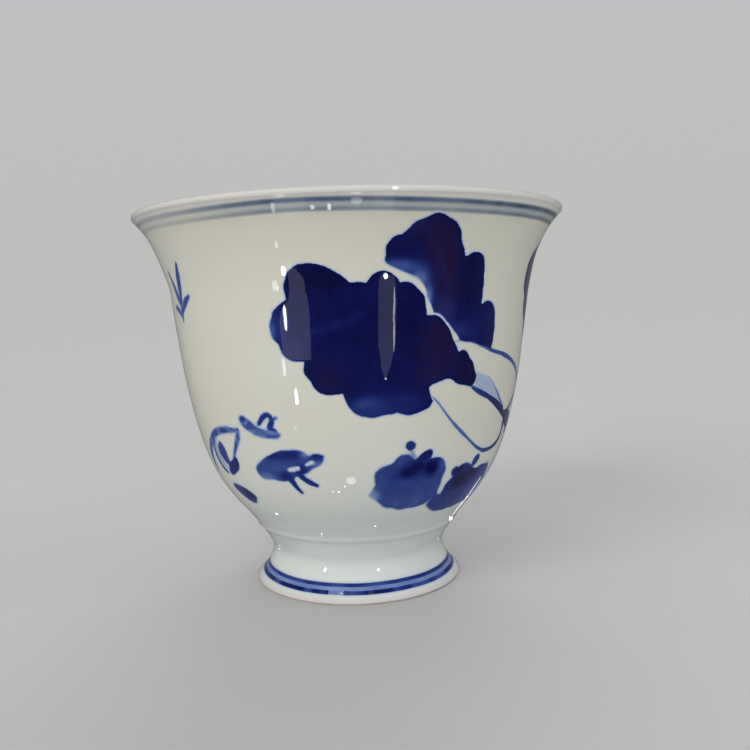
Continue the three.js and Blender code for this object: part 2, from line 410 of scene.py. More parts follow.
MUSHROOM_LINES = [
    (0.22, [(-30.4, 30.6, 0.40), (-31.2, 28.4, 0.50), (-30.6, 26.2, 0.45), (-29.4, 25.2, 0.30)]),
    (0.60, [(-22.0, 32.5, 0.34), (-24.0, 32.5, 0.52), (-26.4, 32.4, 0.66), (-29.2, 31.7, 0.66),
            (-32.0, 30.3, 0.66), (-34.4, 28.4, 0.64), (-35.8, 26.4, 0.60), (-36.2, 24.6, 0.46),
            (-35.4, 23.2, 0.20)]),
    (0.66, [(-30.8, 30.6, 0.32), (-32.3, 28.7, 0.42), (-32.5, 26.8, 0.42), (-31.7, 25.1, 0.42),
            (-30.2, 24.2, 0.36)]),
    (0.58, [(-22.2, 32.6, 0.50), (-22.6, 31.2, 0.56), (-23.8, 29.6, 0.40), (-25.2, 27.7, 0.30)]),
    (0.78, [(-25.0, 27.2, 0.46), (-25.6, 26.2, 0.95), (-27.0, 25.4, 1.05), (-28.4, 24.4, 0.66)]),
    (0.66, [(-28.9, 29.6, 0.50), (-29.0, 28.4, 1.30), (-28.6, 27.0, 1.00), (-27.6, 26.0, 0.60)]),
    (0.56, [(-20.2, 34.5, 0.92), (-19.3, 33.8, 0.98), (-17.7, 32.9, 0.86), (-15.7, 32.4, 0.74),
            (-13.6, 32.2, 0.56), (-12.8, 32.3, 0.36)]),
    (0.70, [(-16.6, 34.1, 0.40), (-15.6, 35.2, 0.46), (-14.6, 35.7, 0.46), (-13.9, 35.2, 0.42),
            (-13.9, 34.4, 0.52), (-14.4, 33.5, 0.50), (-13.4, 32.9, 0.40)]),
    (0.60, [(-13.8, 34.9, 0.30), (-12.9, 35.2, 0.24)]),
    (0.74, [(-12.6, 25.0, 0.62), (-11.9, 24.0, 0.56), (-11.2, 22.9, 0.42), (-10.4, 22.0, 0.22)]),
    (0.72, [(-10.2, 25.6, 0.62), (-9.2, 24.6, 0.54), (-8.1, 24.0, 0.48), (-6.9, 23.5, 0.38)]),
]
MUSHROOM_WASHES = [
    (-20.2, 34.8, 0.8, 0.7, 0.74, 0.3), (-16.4, 32.6, 2.4, 0.4, 0.46, 0.0),
    (-26.4, 32.2, 1.6, 0.6, 0.74, 0.0), (-33.4, 29.4, 1.0, 1.4, 0.54, 0.2),
    (-22.4, 31.4, 0.8, 0.9, 0.52, 0.0),
]

# Sprouts on the bulbs, and dabs at the back.
SPROUTS = [
    (0.74, [(10.9, 30.0, 0.80), (11.1, 29.8, 0.80)]),
    (0.30, [(11.4, 29.0, 0.30), (11.9, 27.6, 0.45)]),
    (0.82, [(13.1, 27.0, 0.80), (14.1, 27.7, 0.92), (14.9, 28.2, 0.80)]),
    (0.70, [(27.8, 24.6, 0.45), (28.2, 25.3, 0.85), (28.5, 25.6, 0.85)]),
    (0.74, [(56.2, 32.0, 0.60), (56.4, 31.8, 0.60)]),
    (0.34, [(56.3, 31.2, 0.28), (56.1, 29.0, 0.45)]),
    (0.76, [(77.6, 30.2, 0.40), (80.5, 28.8, 0.75), (83.4, 28.6, 0.35)]),
    (0.72, [(84.6, 26.4, 0.25), (85.8, 25.4, 0.50), (86.4, 24.4, 0.22)]),
]

# A generic sprig of grass, far round to the left.
SPRIG = [
    (0.62, [(-33.8, 51.4, 0.36), (-33.4, 54.4, 0.56), (-32.4, 58.0, 0.86), (-31.0, 61.0, 0.30)]),
    (0.58, [(-33.4, 53.6, 0.36), (-35.2, 56.4, 0.78), (-36.4, 59.8, 0.30)]),
    (0.62, [(-33.2, 52.8, 0.30), (-31.6, 54.4, 0.70), (-29.6, 55.4, 0.28)]),
    (0.54, [(-33.8, 51.8, 0.30), (-35.6, 53.2, 0.62), (-37.2, 53.6, 0.28)]),
]


# ---------- the motif's brush fields

FAR_OFF = -20.0             # the value of a shape well outside it, in millimetres


def arc(start, end, bulge, count=14):
    """Points of a circular arc from start towards end that swells to the left of its way."""
    start, end = np.array(start), np.array(end)
    along = (end - start) / 2
    half = np.hypot(*along)
    left = np.array([-along[1], along[0]]) / half
    bulge = bulge if abs(bulge) > 0.01 else 0.01
    half_turn = 2 * math.atan(bulge / half)
    radius = half / math.sin(half_turn)
    turn = np.linspace(-half_turn, half_turn, count, endpoint=False)[:, None]
    middle = (start + end) / 2
    return middle + radius * (np.sin(turn) * along / half + (np.cos(turn) - math.cos(half_turn)) * left)


def closed_edge(corners):
    following = corners[1:] + corners[:1]
    return np.concatenate([arc(a[:2], b[:2], a[2]) for a, b in zip(corners, following)])


def smooth_stroke(places):
    return spline(places, 12 * len(places))


class Wall:
    """The outside's points unrolled, with what the brush left on each."""

    def __init__(self, points):
        x, y, z = points.T / MM
        self.place = np.stack([np.arctan2(x, -y) * WALL_RADIUS, z], axis=1)
        outline = spline(OUTER_OUTLINE, 400)
        slope = np.gradient(outline[:, 0]) / np.maximum(np.gradient(outline[:, 1]), 1e-3)
        radius = np.interp(z, outline[:, 1], outline[:, 0])
        slant = np.hypot(1, np.interp(z, outline[:, 1], slope))
        self.scale = np.stack([radius / WALL_RADIUS, np.minimum(slant, 2)], axis=1)
        self.ink = np.full(len(z), FAR_OFF)
        self.load = np.zeros(len(z))
        self.violet = np.zeros(len(z))

    def around(self, line, margin=1.6):
        """The points in reach of a line."""
        low = line[:, :2].min(axis=0) - margin
        high = line[:, :2].max(axis=0) + margin
        return np.flatnonzero(((self.place > low) & (self.place < high)).all(axis=1))

    def distance(self, points, line):
        """How far the points are from a line, in true millimetres, less the line's half width there."""
        best = np.full(len(points), np.inf)
        place, scale = self.place[points], self.scale[points]
        for start, end in zip(line, line[1:]):
            way = (end[:2] - start[:2]) * scale
            reach = (place - start[:2]) * scale
            share = np.clip((way * reach).sum(axis=1) / np.maximum((way**2).sum(axis=1), 1e-9), 0, 1)
            width = start[2] + share * (end[2] - start[2])
            best = np.minimum(best, np.hypot(*(reach - share[:, None] * way).T) - width)
        return best

    def inside(self, points, outline):
        """Which points a closed outline surrounds."""
        across, up = self.place[points].T
        crossings = np.zeros(len(points), int)
        for (x0, y0), (x1, y1) in zip(outline, np.roll(outline, -1, axis=0)):
            if y0 != y1:
                crossing = x0 + (up - y0) * (x1 - x0) / (y1 - y0)
                crossings += ((y0 > up) != (y1 > up)) & (across < crossing)
        return crossings % 2 == 1

    def filled(self, corners):
        """A shape with an edge of arcs, as a signed distance, positive inside."""
        outline = closed_edge(corners)
        points = self.around(outline)
        line = np.concatenate([outline, outline[:1]])
        line = np.concatenate([line, np.zeros((len(line), 1))], axis=1)
        distance = self.distance(points, line)
        shape = np.full(len(self.ink), FAR_OFF)
        shape[points] = np.where(self.inside(points, outline), distance, -distance)
        return shape + self.unsteady()

    def stroked(self, places):
        line = smooth_stroke(places)
        points = self.around(line)
        shape = np.full(len(self.ink), FAR_OFF)
        shape[points] = -self.distance(points, line)
        return shape + self.unsteady(0.06)

    def ringed(self, places):
        """A closed outline drawn with a thin brush: how far each point is inside it, and the brush's
        half width at the nearest place, which is below zero where the brush was lifted."""
        line = smooth_stroke(places)
        bare = line * (1, 1, 0)
        points = self.around(line)
        off = np.full(len(self.ink), FAR_OFF)
        brush = np.full(len(self.ink), -1.0)
        distance = self.distance(points, bare)
        off[points] = np.where(self.inside(points, line[:, :2]), distance, -distance)
        brush[points] = distance - self.distance(points, line)
        return off, brush

    def unsteady(self, size=0.16):
        """A slow wander, so that no edge is a compass arc."""
        a, b = self.place.T
        wander = np.sin(1.9 * a + 0.7 * b) + np.sin(1.1 * b - 1.3 * a + 2) + np.sin(2.9 * b + 0.6 * a + 1)
        return size * wander / 3

    def paint(self, shape, load, violet=0.0):
        """Lays a shape down where it reaches deeper than what is there."""
        deeper = shape > np.maximum(self.ink, -1.5)
        self.load = np.where(deeper, load, self.load)
        self.violet = np.where(deeper, violet, self.violet)
        self.ink = np.maximum(self.ink, shape)

    def washed(self, load, washes):
        """A shape's load and violet, from its base load and its soft washes."""
        load = np.full(len(self.ink), load)
        violet = np.zeros(len(self.ink))
        for across, up, reach_across, reach_up, wash_load, wash_violet in washes:
            away = np.hypot(*((self.place - (across, up)) / (reach_across, reach_up)).T)
            share = 1 / (1 + away**4)
            load += share * (wash_load - load)
            violet += share * (wash_violet - violet)
        return load, violet


VEIN_LIFT = 0.10            # how much paler a leaf's veins are than the pigment round them


def brushed(wall, figure, cut=None):
    """Paints a filled figure, and gives its whole shape."""
    whole = wall.filled(figure["edge"])
    shape = whole if cut is None else np.minimum(whole, cut)
    load, violet = wall.washed(figure["load"], figure["washes"])
    for vein in figure.get("veins", []):
        load = load - VEIN_LIFT / (1 + np.exp(-wall.stroked(vein) / 0.2))
    wall.paint(shape, load, violet)
    return whole


def lights_of(wall, strokes):
    """What is left around bare spots, as a shape to cut with."""
    return np.min([-wall.stroked(places) for places in strokes], axis=0)


def brush_leaves(wall):
    """Paints the leaves, and gives the whole shapes of the two that meet. The shader keeps the gap
    between those two, so the far one lends its load here and no ink."""
    near = brushed(wall, NEAR_LEAF)
    without_far = wall.ink
    far = brushed(wall, FAR_LEAF, cut=-near - LEAF_GAP)
    wall.ink = without_far
    brushed(wall, BACK_LEAF)
    return near, far


def brush_mushrooms(wall):
    brushed(wall, BIG_CAP, cut=lights_of(wall, CAP_LIGHTS))
    brushed(wall, SMALL_CAP)
    wash, violet = wall.washed(0.0, MUSHROOM_WASHES)
    for load, places in MUSHROOM_LINES:
        washed_load = np.where(wash > 0.1, np.maximum(wash, load * 0.5), load)
        wall.paint(wall.stroked(places), 0.5 * (load + washed_load), violet)


def motif_fields(wall):
    """Paints the whole motif on the wall, and gives its fields by name."""
    near, far = brush_leaves(wall)
    for bulb in (RIGHT_BULB, LEFT_BULB, BACK_BULB):
        brushed(wall, bulb)
    brush_mushrooms(wall)
    for load, places in SPROUTS + SPRIG:
        wall.paint(wall.stroked(places), load)
    wall.paint(wall.stroked(STALK_KNOT), 0.92)
    stalks = {name: wall.ringed(places) for name, places in STALKS.items()}
    near_stalk = stalks["near_stalk"][0]
    fields = {
        "ink": wall.ink,
        "near_leaf": near,
        "far_leaf": far,
        "load": wall.load,
        "violet": wall.violet,
        "shade": np.where(near_stalk > -0.1, FAR_OFF, wall.stroked(STALK_SHADE)),
    }
    for name, (off, brush) in stalks.items():
        fields[name] = off
        fields[name + "_brush"] = brush
    return fields


def brush_motif(piece):
    """Writes the motif's pigment fields onto the outside's points."""
    mesh = piece.data
    points = np.zeros(len(mesh.vertices) * 3)
    mesh.vertices.foreach_get("co", points)
    for name, values in motif_fields(Wall(points.reshape(-1, 3))).items():
        attribute = mesh.attributes.new(name, "FLOAT", "POINT")
        attribute.data.foreach_set("value", values.astype(np.float32))


# ---------- materials

class Graph:
    """The node tree of a material or a world, built by short calls that return sockets."""

    def __init__(self, owner):
        owner.use_nodes = True
        self.owner = owner
        self.nodes = owner.node_tree.nodes
        self.links = owner.node_tree.links

    def node(self, kind, inputs=None, **settings):
        made = self.nodes.new(kind)
        for key, value in settings.items():
            setattr(made, key, value)
        for key, value in (inputs or {}).items():
            self.put(made.inputs[key], value)
        return made

    def put(self, socket, value):
        if isinstance(value, bpy.types.NodeSocket):
            self.links.new(value, socket)
        else:
            socket.default_value = value

    def math(self, operation, *values, clamp=False):
        made = self.node("ShaderNodeMath", dict(enumerate(values)), operation=operation, use_clamp=clamp)
        return made.outputs[0]

    def step(self, value, start, stop, low=0.0, high=1.0, easing="SMOOTHSTEP"):
        """A smooth step from low to high as value goes from start to stop."""
        inputs = {0: value, 1: start, 2: stop, 3: low, 4: high}
        return self.node("ShaderNodeMapRange", inputs, interpolation_type=easing).outputs[0]

    def attribute(self, name):
        return self.node("ShaderNodeAttribute", attribute_name=name).outputs["Fac"]

    def vector(self, x, y, z):
        return self.node("ShaderNodeCombineXYZ", {0: x, 1: y, 2: z}).outputs[0]

    def noise(self, vector, scale, detail=2.0, roughness=0.5):
        inputs = {"Vector": vector, "Scale": scale, "Detail": detail, "Roughness": roughness}
        return self.node("ShaderNodeTexNoise", inputs).outputs[0]

    def mix(self, share, first, second):
        return self.node("ShaderNodeMix", {0: share, 6: first, 7: second}, data_type="RGBA").outputs[2]

    def ramp(self, value, stops):
        made = self.node("ShaderNodeValToRGB", {0: value})
        elements = made.color_ramp.elements
        while len(elements) < len(stops):
            elements.new(0.5)
        for element, (place, colour) in zip(elements, stops):
            element.position = place
            element.color = (*colour, 1)
        return made.outputs[0]

    def place(self):
        """The point on the piece in millimetres, and its three parts."""
        inputs = {0: self.node("ShaderNodeTexCoord").outputs["Object"], 3: 1 / MM}
        place = self.node("ShaderNodeVectorMath", inputs, operation="SCALE").outputs[0]
        return place, *self.node("ShaderNodeSeparateXYZ", {0: place}).outputs

    def bump(self, height, distance):
        inputs = {"Height": height, "Distance": distance * MM, "Strength": 1.0}
        return self.node("ShaderNodeBump", inputs).outputs[0]

    def shade(self, **values):
        """Sets the shader's own sockets."""
        for key, value in values.items():
            self.put(self.nodes["Principled BSDF"].inputs[key.replace("_", " ")], value)


CREAM = (0.600, 0.583, 0.500, 1)
# Grey-green of the glaze low on the cup, made paler as painted light for the shaded, down-facing low
# wall.
GREY_GREEN_AND_PAINTED_LIGHT = (0.615, 0.645, 0.625, 1)
# The lip's whiter glaze, made paler still as painted light on the lip's down-facing side.
LIP_WHITE_AND_PAINTED_LIGHT = (0.680, 0.665, 0.620, 1)
# Painted shade: the lip's crest is darker to offset the light on its top.
LIP_CREST_PAINTED_SHADE = (0.615, 0.590, 0.550, 1)
ROSY = (0.590, 0.535, 0.540, 1)
VIOLET = (0.016, 0.0075, 0.036, 1)
RIM_BLUE = (0.052, 0.095, 0.190, 1)
RIM_DEEP = (0.016, 0.022, 0.045, 1)
RIM_WASH = (0.080, 0.180, 0.310, 1)
CLAY_SPECK = (0.30, 0.25, 0.19, 1)

# Cobalt from a breath of wash to a full load, over the porcelain.
COBALT = [
    (0.00, (0.590, 0.575, 0.510)),
    (0.12, (0.400, 0.470, 0.560)),
    (0.26, (0.210, 0.290, 0.460)),
    (0.40, (0.115, 0.180, 0.400)),
    (0.55, (0.042, 0.075, 0.260)),
    (0.70, (0.015, 0.030, 0.165)),
    (0.86, (0.0050, 0.0090, 0.080)),
    (1.00, (0.0022, 0.0030, 0.038)),
]


def glaze_gloss(graph, place):
    """A clear glass coat over matt clay, with the faint ripple of a fired glaze."""
    ripple = graph.bump(graph.noise(place, 0.55, 2.0), 0.012)
    graph.shade(Roughness=0.55, Specular_IOR_Level=0.0, Normal=ripple)
    graph.shade(Coat_Weight=1.0, Coat_Roughness=0.03, Coat_IOR=1.45, Coat_Normal=ripple)


def porcelain_colour_and_painted_light(graph, place, height):
    """Cream porcelain that turns grey-green where the glaze is thicker, low on the cup, with painted
    light and shade in it: the low grey-green is made paler to lift the shade on the down-facing wall, the
    band under the lip is whiter as its own glaze and as painted light on its down-facing side, and the
    crest is darker as painted shade.
    """
    drift = graph.noise(place, 0.045, 2.0)
    # Painted light: the low, down-facing wall gets the paler grey-green, reaching well up the wall to
    # lift its shade.
    low = graph.step(height, 38.0, 13.0)
    glaze_pool_and_painted_light = graph.math("MULTIPLY_ADD", low, 0.85, graph.step(drift, 0.40, 0.80, 0.0, 0.25), clamp=True)
    colour = graph.mix(glaze_pool_and_painted_light, CREAM, GREY_GREEN_AND_PAINTED_LIGHT)
    # Painted light on the lip: a whiter band on its down-facing side, which is also the lip's own whiter
    # glaze.
    colour = graph.mix(graph.step(height, CUP_HEIGHT - 2.7, CUP_HEIGHT - 2.0), colour, LIP_WHITE_AND_PAINTED_LIGHT)
    # Painted shade: the crest is darker against the light on its top.
    return graph.mix(graph.step(height, CUP_HEIGHT - 1.5, CUP_HEIGHT - 0.6), colour, LIP_CREST_PAINTED_SHADE)


def band(graph, height, node_names, softness=0.10):
    """How far a height lies inside the stretch that the named CAD rings cover."""
    low = min(node_box(name)[0].z for name in node_names)
    high = max(node_box(name)[1].z for name in node_names)
    half = (high - low) / 2
    distance = graph.math("ABSOLUTE", graph.math("SUBTRACT", height, (low + high) / 2))
    return graph.step(distance, half + softness, half - softness)


def strongest(graph, layers):
    """The most pigment that any (cover, load) layer leaves."""
    pigment = 0.0
    for cover, load in layers:
        pigment = graph.math("MAXIMUM", pigment, graph.math("MULTIPLY", cover, load))
    return pigment


FOOT_GAP = -6.7             # where the brush was lifted on the foot's lower line, as across


def foot_bands(graph, height, around, across):
    """Pigment of the two lines round the foot and the wash between them."""
    wobble = graph.math("MULTIPLY_ADD", graph.noise(around, 1.7, 3.0), 0.24, -0.27)
    height = graph.math("ADD", height, wobble)
    patchy = graph.noise(around, 3.2, 2.0, 0.5)
    slow = graph.noise(around, 2.3, 2.0)
    from_gap = graph.math("ABSOLUTE", graph.math("SUBTRACT", across, FOOT_GAP))
    lifted = graph.step(from_gap, 2.9, 2.3, 0.0, 0.45)
    lower_load = graph.math("SUBTRACT", graph.step(patchy, 0.60, 0.48, 0.60, 0.84), lifted)
    both = ["foot_line_lower", "foot_line_upper"]
    return strongest(graph, [
        (band(graph, height, ["foot_line_upper"]), graph.step(patchy, 0.35, 0.65, 0.60, 0.72)),
        (band(graph, height, ["foot_line_lower"]), lower_load),
        (band(graph, height, both), graph.step(slow, 0.3, 0.7, 0.30, 0.42)),
        (band(graph, height, both, 0.90), 0.20),
    ])


def rim_bands(graph, height, around, across):
    """Pigment of the two lines under the lip, the faint wash between them, and the lines' colour.
    They sag on both sides of the front, thin out to its left and darken to its right."""
    front = graph.step(graph.math("ABSOLUTE", across), 88.0, 62.0)

    def growing(start, stop, amount=1.0):
        return graph.math("MULTIPLY", front, graph.step(across, start, stop, 0.0, amount))

    left = growing(-6.0, -24.0)
    right = growing(-10.0, 26.0)
    far_right = growing(15.0, 45.0)
    thinned = graph.math("SUBTRACT", growing(-24.0, -32.0, 0.20), growing(-35.0, -43.0, 0.36))
    strength = graph.math("SUBTRACT", graph.math("MULTIPLY_ADD", left, -0.35, 1.0), thinned)
    sag = graph.math("MULTIPLY_ADD", left, 0.24, graph.math("MULTIPLY", right, 0.38))
    wobble = graph.math("MULTIPLY_ADD", graph.noise(around, 1.3, 3.0), 0.20, -0.10)
    height = graph.math("ADD", height, graph.math("ADD", sag, wobble))
    patchy = graph.noise(around, 5.0, 4.0, 0.6)
    lower_load = graph.math("MULTIPLY_ADD", far_right, 0.22, graph.step(patchy, 0.3, 0.7, 0.42, 0.58))
    lines = strongest(graph, [
        (band(graph, height, ["rim_line_upper"], 0.26), graph.step(patchy, 0.35, 0.65, 0.80, 0.98)),
        (band(graph, height, ["rim_line_lower"], 0.24), lower_load),
    ])
    between = band(graph, height, ["rim_line_lower", "rim_line_upper"], 0.2)
    faint = graph.math("MULTIPLY_ADD", left, -0.34, graph.step(patchy, 0.3, 0.7, 0.36, 0.44))
    faint = graph.math("MULTIPLY_ADD", far_right, 0.12, faint)
    colour = graph.mix(far_right, RIM_BLUE, RIM_DEEP)
    return graph.math("MULTIPLY", lines, strength), graph.math("MULTIPLY", between, faint), colour


def motif_ink(graph):
    """How deep a point lies in the motif, with the bare gap between the two leaves."""
    outside_near = graph.math("MULTIPLY_ADD", graph.attribute("near_leaf"), -1.0, -LEAF_GAP)
    far_leaf = graph.math("MINIMUM", graph.attribute("far_leaf"), outside_near)
    return graph.math("MAXIMUM", graph.attribute("ink"), far_leaf)


def motif_pigment(graph, place, across, ink):
    """Pigment of the brushed motif, with bleeding edges and bristle streaks."""
    bleed = graph.math("MULTIPLY_ADD", graph.noise(place, 1.8, 4.0, 0.6), 0.24, -0.12)
    painted = graph.attribute("load")
    edge = graph.math("ADD", ink, bleed)
    halo = graph.step(edge, -0.60, 0.0, 0.0, 0.12)
    streaks = graph.noise(graph.vector(across, 0.0, 0.0), 1.1, 4.0, 0.6)
    streaks = graph.math("MULTIPLY_ADD", streaks, 0.08, -0.04)
    clouds = graph.math("MULTIPLY_ADD", graph.noise(place, 0.42, 3.0), 0.12, -0.06)
    load = graph.math("ADD", painted, graph.math("ADD", streaks, clouds), clamp=True)
    soft = graph.math("MULTIPLY_ADD", painted, -0.5, 0.58)
    cover = graph.step(edge, graph.math("MULTIPLY", soft, -1.0), soft)
    pigment = graph.math("MAXIMUM", graph.math("MULTIPLY", cover, load), halo)

    pressure = graph.step(graph.noise(place, 0.30, 1.0), 0.35, 0.65, -0.08, 0.02)
    for name in STALKS:
        pigment = graph.math("MAXIMUM", pigment, outline_pigment(graph, name, bleed, pressure))
    shade = graph.step(graph.attribute("shade"), -0.7, 0.5, 0.0, 0.17)
    return graph.math("MAXIMUM", pigment, shade)


def outline_pigment(graph, name, bleed, pressure):
    """Pigment of a stalk's outline: darker where the brush pressed, with a faint tint beside it."""
    unsteady = graph.math("MULTIPLY_ADD", bleed, 0.3, graph.attribute(name))
    off = graph.math("ABSOLUTE", unsteady)
    brush = graph.attribute(name + "_brush")
    deep = graph.math("SUBTRACT", graph.math("ADD", brush, pressure), off)
    load = graph.step(brush, 0.2, 0.65, 0.42, 0.88)
    line = graph.math("MULTIPLY", graph.step(deep, -0.12, 0.12), load)
    tint = graph.math("MULTIPLY", graph.step(deep, -0.6, 0.0, 0.0, 0.07), graph.step(brush, 0.0, 0.1))
    return graph.math("MAXIMUM", line, tint)


def material_graph(name):
    return Graph(bpy.data.materials.new(name))


def outside_material():
    graph = material_graph("glaze_over_brushed_cobalt")
    place, x, y, height = graph.place()
    azimuth = graph.math("ARCTAN2", x, graph.math("MULTIPLY", y, -1.0))
    across = graph.math("MULTIPLY", azimuth, WALL_RADIUS)
    back = graph.math("MULTIPLY", graph.math("COSINE", azimuth), -1.0)
    around = graph.vector(graph.math("SINE", azimuth), back, 0.0)
    # The porcelain's colour carries painted light and shade: a paler low wall, a paler band under the lip
    # and a darker crest.
    colour = porcelain_colour_and_painted_light(graph, place, height)
    colour = graph.mix(graph.step(height, 1.25, 0.6, 0.0, 0.9), colour, ROSY)
    rim_lines, rim_wash, rim_colour = rim_bands(graph, height, around, across)
    colour = graph.mix(rim_wash, colour, RIM_WASH)
    colour = graph.mix(rim_lines, colour, rim_colour)
    ink = motif_ink(graph)
    lines = foot_bands(graph, height, around, across)
    pigment = graph.math("MAXIMUM", lines, motif_pigment(graph, place, across, ink))
    colour = graph.mix(graph.step(pigment, 0.0, 0.12), colour, graph.ramp(pigment, COBALT))
    inked = graph.step(ink, 0.0, 0.8)
    tinted = graph.math("MULTIPLY", graph.attribute("violet"), inked)
    colour = graph.mix(graph.math("MULTIPLY", tinted, 0.8), colour, VIOLET)
    graph.shade(Base_Color=colour)
    glaze_gloss(graph, place)
    return graph.owner


def clear_glaze_material(name):
    graph = material_graph(name)
    place, _, _, height = graph.place()
    # The porcelain's colour carries painted light and shade: a paler low wall, a paler band under the lip
    # and a darker crest.
    graph.shade(Base_Color=porcelain_colour_and_painted_light(graph, place, height))
    glaze_gloss(graph, place)
    return graph.owner


def bare_clay_material(name, base, flash):
    """Fired clay without glaze: fine grain, and a warmer blush where the fire touched it."""
    graph = material_graph(name)
    place = graph.place()[0]
    blush = graph.step(graph.noise(place, 0.25, 3.0), 0.45, 0.75, 0.0, 0.7)
    grain = graph.noise(place, 6.0, 3.0, 0.7)
    colour = graph.mix(blush, base, flash)
    colour = graph.mix(graph.step(grain, 0.62, 0.75, 0.0, 0.35), colour, CLAY_SPECK)
    roughness = graph.step(grain, 0.2, 0.8, 0.65, 0.85)
    graph.shade(Base_Color=colour, Roughness=roughness, Normal=graph.bump(grain, 0.05))
    return graph.owner


def table_material():
    graph = material_graph("pale_table")
    tint = graph.noise(graph.place()[0], 0.02, 3.0)
    colour = graph.mix(tint, (0.50, 0.49, 0.475, 1), (0.54, 0.53, 0.515, 1))
    graph.shade(Base_Color=colour, Roughness=0.8, Specular_IOR_Level=0.1)
    return graph.owner


# ---------- pieces

FIRED_CLAY = ((0.66, 0.60, 0.51, 1), (0.62, 0.48, 0.36, 1))
FIRED_SLIP = ((0.62, 0.56, 0.47, 1), (0.60, 0.50, 0.40, 1))
OUTSIDE_COLUMNS = 410
FINE_COLUMNS = 240
CREST = 90                  # degrees over the lip's arc, where the outside glaze meets the inside one
LIP_END = 180               # degrees over the lip's arc, where it meets the inside wall

bare_clay = bare_clay_material("fired_clay", *FIRED_CLAY)
fired_slip = bare_clay_material("fired_slip", *FIRED_SLIP)
clear_glaze = clear_glaze_material("clear_glaze")

LINE_NODES = [
    "foot_line_lower", "foot_wash_band", "foot_line_upper",
    "rim_line_lower", "rim_wash_band", "rim_line_upper",
]


def below_joint(rows):
    return rows[rows[:, 1] < JOINT_BOTTOM - 0.05]


def above_joint(rows):
    return rows[rows[:, 1] > JOINT_TOP + 0.05]


def outside_glaze():
    front = closed(outer_rows(200)[:-1], lip_arc(0, CREST, 12))
    back = closed(outer_rows(24, GLAZE)[:-1], lip_arc(0, CREST, 4, GLAZE))
    piece = turned(
        "outside_glaze_and_brushwork", closed(front, back[::-1]), OUTSIDE_COLUMNS,
        outside_material(), ["exterior_glaze", *LINE_NODES],
    )
    brush_motif(piece)


def inside_glaze():
    front = closed(inner_rows(90)[:-1], lip_arc(CREST, LIP_END, 14)[::-1])
    back = closed(inner_rows(24, GLAZE)[:-1], lip_arc(CREST, LIP_END, 4, GLAZE)[::-1])
    profile = closed(back, front[::-1])
    turned("inside_glaze", profile, FINE_COLUMNS, clear_glaze, ["interior_glaze"])


def recess_glaze():
    face = JOINT_TOP - GLAZE
    ceiling = [(0, face), (6, face), (HOLLOW_TOP_RADIUS - GLAZE, face)]
    backing = [(HOLLOW_TOP_RADIUS + GLAZE, JOINT_TOP), (6, JOINT_TOP), (0, JOINT_TOP)]
    profile = closed(ceiling, hollow_rows(30)[::-1], hollow_rows(30, GLAZE), backing)
    turned("recess_glaze", profile, FINE_COLUMNS, clear_glaze, ["foot_recess_glaze"])


def bowl_clay():
    outside = above_joint(outer_rows(120, GLAZE))[:-1]
    base = [(0, JOINT_TOP), (HOLLOW_TOP_RADIUS, JOINT_TOP), (outside[0][0] - 0.15, JOINT_TOP)]
    inside = inner_rows(60, GLAZE)[:-1]
    profile = closed(base, outside, lip_arc(0, LIP_END, 13, GLAZE), inside[::-1])
    turned("bowl_clay", profile, FINE_COLUMNS, bare_clay, ["bowl"])


def foot_clay():
    outside = below_joint(outer_rows(150, GLAZE))
    top = [(outside[-1][0] + 0.05, JOINT_BOTTOM)]
    rest = [
        (REST_RADIUS_INNER, 0.05), (REST_RADIUS_INNER + 0.15, 0),
        (REST_RADIUS_OUTER - 0.1, 0), (REST_RADIUS_OUTER, 0.03),
    ]
    profile = closed(rest, outside, top, hollow_rows(24, GLAZE)[::-1])
    turned("foot_clay", profile, FINE_COLUMNS, bare_clay, ["foot"])


def slip_ring():
    outside = outer_rows(400, GLAZE)
    outside = outside[(outside[:, 1] > JOINT_BOTTOM) & (outside[:, 1] < JOINT_TOP)]
    inner = HOLLOW_TOP_RADIUS + GLAZE
    profile = closed(outside, [(inner, JOINT_TOP - 0.02), (inner, JOINT_BOTTOM + 0.02)])
    turned("luting_slip_ring", profile, FINE_COLUMNS, fired_slip, ["luting_slip"])


outside_glaze()
inside_glaze()
recess_glaze()
bowl_clay()
foot_clay()
slip_ring()


# ---------- camera

CAMERA_PLACE = np.array([4.34, -156.25, 52.97])
CAMERA_DIP = math.radians(5.04)
CAMERA_LEAN = math.radians(1.67)
CAMERA_LENS = 37.98         # for a 36 mm wide sensor


def camera():
    data = bpy.data.cameras.new("camera")
    data.sensor_width = 36
    data.lens = CAMERA_LENS
    data.clip_start = 0.005
    eye = bpy.data.objects.new("camera", data)
    level = Matrix.Rotation(math.radians(90) - CAMERA_DIP, 4, "X")
    lean = Matrix.Rotation(-CAMERA_LEAN, 4, "Z")
    eye.matrix_world = Matrix.Translation(Vector(CAMERA_PLACE * MM)) @ level @ lean
    bpy.context.scene.collection.objects.link(eye)
    bpy.context.scene.camera = eye


# ---------- table and light

def table():
    bpy.ops.mesh.primitive_circle_add(vertices=96, radius=4.0, fill_type="NGON")
    top = bpy.context.object
    top.name = "table"
    top.visible_glossy = False
    top.data.materials.append(table_material())


def aimed(position, target):
    direction = Vector(target) - Vector(position)
    return direction.to_track_quat("-Z", "Y").to_matrix().to_4x4()


def soft_light(name, source, spread, strength, colour=(1, 1, 1)):
    """A wide, far light that shapes the clay's shading and leaves no mark in the glaze."""
    data = bpy.data.lights.new(name, "SUN")
    data.angle = math.radians(spread)
    data.energy = strength
    data.color = colour
    lamp = bpy.data.objects.new(name, data)
    lamp.matrix_world = aimed(source, (0, 0, 0))
    lamp.visible_glossy = False
    bpy.context.scene.collection.objects.link(lamp)


